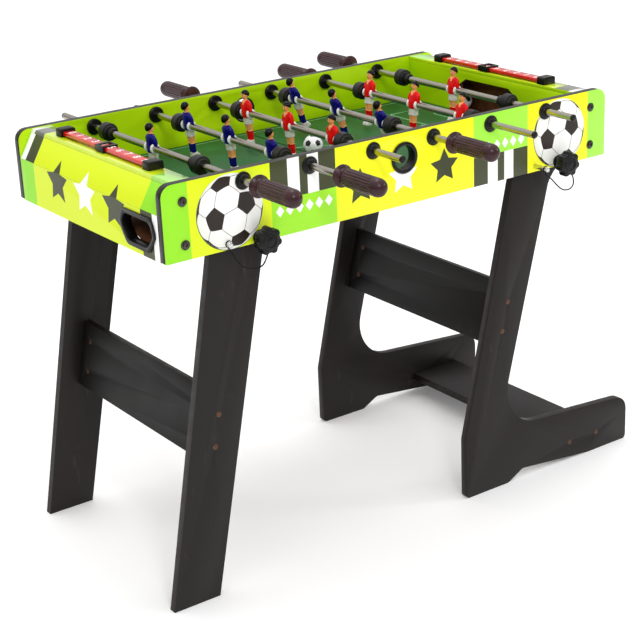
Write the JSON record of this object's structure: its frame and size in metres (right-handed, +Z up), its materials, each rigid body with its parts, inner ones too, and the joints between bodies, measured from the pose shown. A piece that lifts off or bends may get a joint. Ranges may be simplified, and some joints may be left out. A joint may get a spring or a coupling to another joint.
{
  "type": "foosball table",
  "caption": "Folding table football game: boxed playfield, sliding rods with moulded players, ribbed grips, score counters and hinged leg frames, L-shaped at the right end.",
  "frame": {"origin": "on the floor, straight below the middle of the playfield", "axes": "+X along the table towards the L-shaped legs, +Y from the front side panel to the back one, +Z up"},
  "size_m": [1.049, 0.874, 0.7537],
  "materials": {
    "printed_board": "medium-density board with a printed gloss paper face",
    "printed_cover": "glossy printed laminate",
    "playfield_green": "thin hardboard, green satin print with white lines",
    "raw_mdf": "bare brown fibreboard",
    "batten_wood": "sawn softwood",
    "dark_board": "black-brown laminated board with a fine leather grain",
    "black_plastic": "moulded black plastic",
    "knob_plastic": "moulded black plastic, slightly glossy",
    "black_steel": "blackened steel",
    "zinc_steel": "zinc-plated steel",
    "rod_steel": "polished steel tube",
    "counter_red": "glossy red plastic with white numbers",
    "lanyard_black": "thin black coated cord",
    "ball_white": "white plastic with black pentagons",
    "men_blue": "painted glossy plastic",
    "men_red": "painted glossy plastic",
    "grip_plastic": "dark plum plastic, ribbed",
    "bumper_rubber": "black rubber"
  },
  "bodies": {
    "table": {"side_panel_front": "printed_board", "side_panel_back": "printed_board", "end_boards": "printed_board", "sloped_boards": "printed_board", "end_covers": "printed_cover", "goal_walls": "printed_board", "playfield": "playfield_green", "ball_troughs": "raw_mdf", "port_rings": "black_plastic", "corner_battens": "batten_wood", "rod_bushings": "black_plastic", "panel_bolts": "black_steel", "counter_rails": "counter_red", "lanyard_left": "lanyard_black", "lanyard_right": "lanyard_black"},
    "left_leg_frame": {"left_leg_front": "dark_board", "left_leg_back": "dark_board", "left_cross_board": "dark_board", "left_leg_bolts": "zinc_steel"},
    "right_leg_frame": {"right_leg_front": "dark_board", "right_leg_back": "dark_board", "right_cross_board": "dark_board", "right_shelf": "dark_board", "right_leg_bolts": "zinc_steel"},
    "knob_left_front_body": {"knob_left_front": "knob_plastic"},
    "knob_left_back_body": {"knob_left_back": "knob_plastic"},
    "knob_right_front_body": {"knob_right_front": "knob_plastic"},
    "knob_right_back_body": {"knob_right_back": "knob_plastic"},
    "lock_pin_left_front_body": {"lock_pin_left_front": "zinc_steel"},
    "lock_pin_left_back_body": {"lock_pin_left_back": "zinc_steel"},
    "lock_pin_right_front_body": {"lock_pin_right_front": "zinc_steel"},
    "lock_pin_right_back_body": {"lock_pin_right_back": "zinc_steel"},
    "counter_slider_left_body": {"counter_slider_left": "black_plastic"},
    "counter_slider_right_body": {"counter_slider_right": "black_plastic"},
    "rod_1_carriage": {"bumpers_1": "bumper_rubber"},
    "rod_1_shaft": {"rod_1": "rod_steel", "men_1": "men_blue", "grip_1": "grip_plastic"},
    "rod_2_carriage": {"bumpers_2": "bumper_rubber"},
    "rod_2_shaft": {"rod_2": "rod_steel", "men_2": "men_blue", "grip_2": "grip_plastic"},
    "rod_3_carriage": {"bumpers_3": "bumper_rubber"},
    "rod_3_shaft": {"rod_3": "rod_steel", "men_3": "men_red", "grip_3": "grip_plastic"},
    "rod_4_carriage": {"bumpers_4": "bumper_rubber"},
    "rod_4_shaft": {"rod_4": "rod_steel", "men_4": "men_blue", "grip_4": "grip_plastic"},
    "rod_5_carriage": {"bumpers_5": "bumper_rubber"},
    "rod_5_shaft": {"rod_5": "rod_steel", "men_5": "men_red", "grip_5": "grip_plastic"},
    "rod_6_carriage": {"bumpers_6": "bumper_rubber"},
    "rod_6_shaft": {"rod_6": "rod_steel", "men_6": "men_red", "grip_6": "grip_plastic"},
    "ball_on_field_body": {"ball_on_field": "ball_white"},
    "ball_in_goal_body": {"ball_in_goal": "ball_white"}
  },
  "joints": [
    {"name": "left_leg_fold", "type": "hinge", "parent": "table", "child": "left_leg_frame", "pos_m": [-0.295, 0, 0.6145], "axis": [0, -1, 0], "range_deg": [0, 90]},
    {"name": "right_leg_fold", "type": "hinge", "parent": "table", "child": "right_leg_frame", "pos_m": [0.348, 0, 0.6145], "axis": [0, -1, 0], "range_deg": [0, 90]},
    {"name": "knob_left_front_turn", "type": "hinge", "parent": "table", "child": "knob_left_front_body", "pos_m": [-0.295, -0.265, 0.6145], "axis": [0, 1, 0], "continuous": true},
    {"name": "knob_left_back_turn", "type": "hinge", "parent": "table", "child": "knob_left_back_body", "pos_m": [-0.295, 0.265, 0.6145], "axis": [0, 1, 0], "continuous": true},
    {"name": "knob_right_front_turn", "type": "hinge", "parent": "table", "child": "knob_right_front_body", "pos_m": [0.348, -0.265, 0.6145], "axis": [0, 1, 0], "continuous": true},
    {"name": "knob_right_back_turn", "type": "hinge", "parent": "table", "child": "knob_right_back_body", "pos_m": [0.348, 0.265, 0.6145], "axis": [0, 1, 0], "continuous": true},
    {"name": "lock_pin_left_front_draw", "type": "slide", "parent": "table", "child": "lock_pin_left_front_body", "axis": [0, -1, 0], "range_m": [0, 0.025]},
    {"name": "lock_pin_left_back_draw", "type": "slide", "parent": "table", "child": "lock_pin_left_back_body", "axis": [0, 1, 0], "range_m": [0, 0.025]},
    {"name": "lock_pin_right_front_draw", "type": "slide", "parent": "table", "child": "lock_pin_right_front_body", "axis": [0, -1, 0], "range_m": [-0.025, 0]},
    {"name": "lock_pin_right_back_draw", "type": "slide", "parent": "table", "child": "lock_pin_right_back_body", "axis": [0, 1, 0], "range_m": [0, 0.025]},
    {"name": "counter_slider_left_slide", "type": "slide", "parent": "table", "child": "counter_slider_left_body", "axis": [0, 1, 0], "range_m": [-0.1275, 0.1195]},
    {"name": "counter_slider_right_slide", "type": "slide", "parent": "table", "child": "counter_slider_right_body", "axis": [0, 1, 0], "range_m": [-0.1355, 0.1115]},
    {"name": "rod_1_slide", "type": "slide", "parent": "table", "child": "rod_1_carriage", "axis": [0, 1, 0], "range_m": [-0.0955, 0.0355]},
    {"name": "rod_1_spin", "type": "hinge", "parent": "rod_1_carriage", "child": "rod_1_shaft", "pos_m": [-0.3175, 0.03, 0.7105], "axis": [0, 1, 0], "continuous": true},
    {"name": "rod_2_slide", "type": "slide", "parent": "table", "child": "rod_2_carriage", "axis": [0, 1, 0], "range_m": [-0.0475, 0.0715]},
    {"name": "rod_2_spin", "type": "hinge", "parent": "rod_2_carriage", "child": "rod_2_shaft", "pos_m": [-0.1905, -0.012, 0.7105], "axis": [0, 1, 0], "continuous": true},
    {"name": "rod_3_slide", "type": "slide", "parent": "table", "child": "rod_3_carriage", "axis": [0, 1, 0], "range_m": [-0.0505, 0.0685]},
    {"name": "rod_3_spin", "type": "hinge", "parent": "rod_3_carriage", "child": "rod_3_shaft", "pos_m": [-0.0635, -0.009, 0.7105], "axis": [0, 1, 0], "continuous": true},
    {"name": "rod_4_slide", "type": "slide", "parent": "table", "child": "rod_4_carriage", "axis": [0, 1, 0], "range_m": [-0.0805, 0.0385]},
    {"name": "rod_4_spin", "type": "hinge", "parent": "rod_4_carriage", "child": "rod_4_shaft", "pos_m": [0.0635, 0.021, 0.7105], "axis": [0, 1, 0], "continuous": true},
    {"name": "rod_5_slide", "type": "slide", "parent": "table", "child": "rod_5_carriage", "axis": [0, 1, 0], "range_m": [-0.0175, 0.1015]},
    {"name": "rod_5_spin", "type": "hinge", "parent": "rod_5_carriage", "child": "rod_5_shaft", "pos_m": [0.1905, -0.042, 0.7105], "axis": [0, 1, 0], "continuous": true},
    {"name": "rod_6_slide", "type": "slide", "parent": "table", "child": "rod_6_carriage", "axis": [0, 1, 0], "range_m": [-0.0635, 0.0675]},
    {"name": "rod_6_spin", "type": "hinge", "parent": "rod_6_carriage", "child": "rod_6_shaft", "pos_m": [0.3175, -0.002, 0.7105], "axis": [0, 1, 0], "continuous": true},
    {"name": "ball_on_field_lift", "type": "slide", "parent": "table", "child": "ball_on_field_body", "axis": [0, 0, 1], "range_m": [0, 0.15]},
    {"name": "ball_in_goal_lift", "type": "slide", "parent": "table", "child": "ball_in_goal_body", "axis": [0, 0, 1], "range_m": [0, 0.025]}
  ],
  "couplings": [
    {"joint": "left_leg_fold", "follows": "right_leg_fold", "ratio": 1}
  ]
}
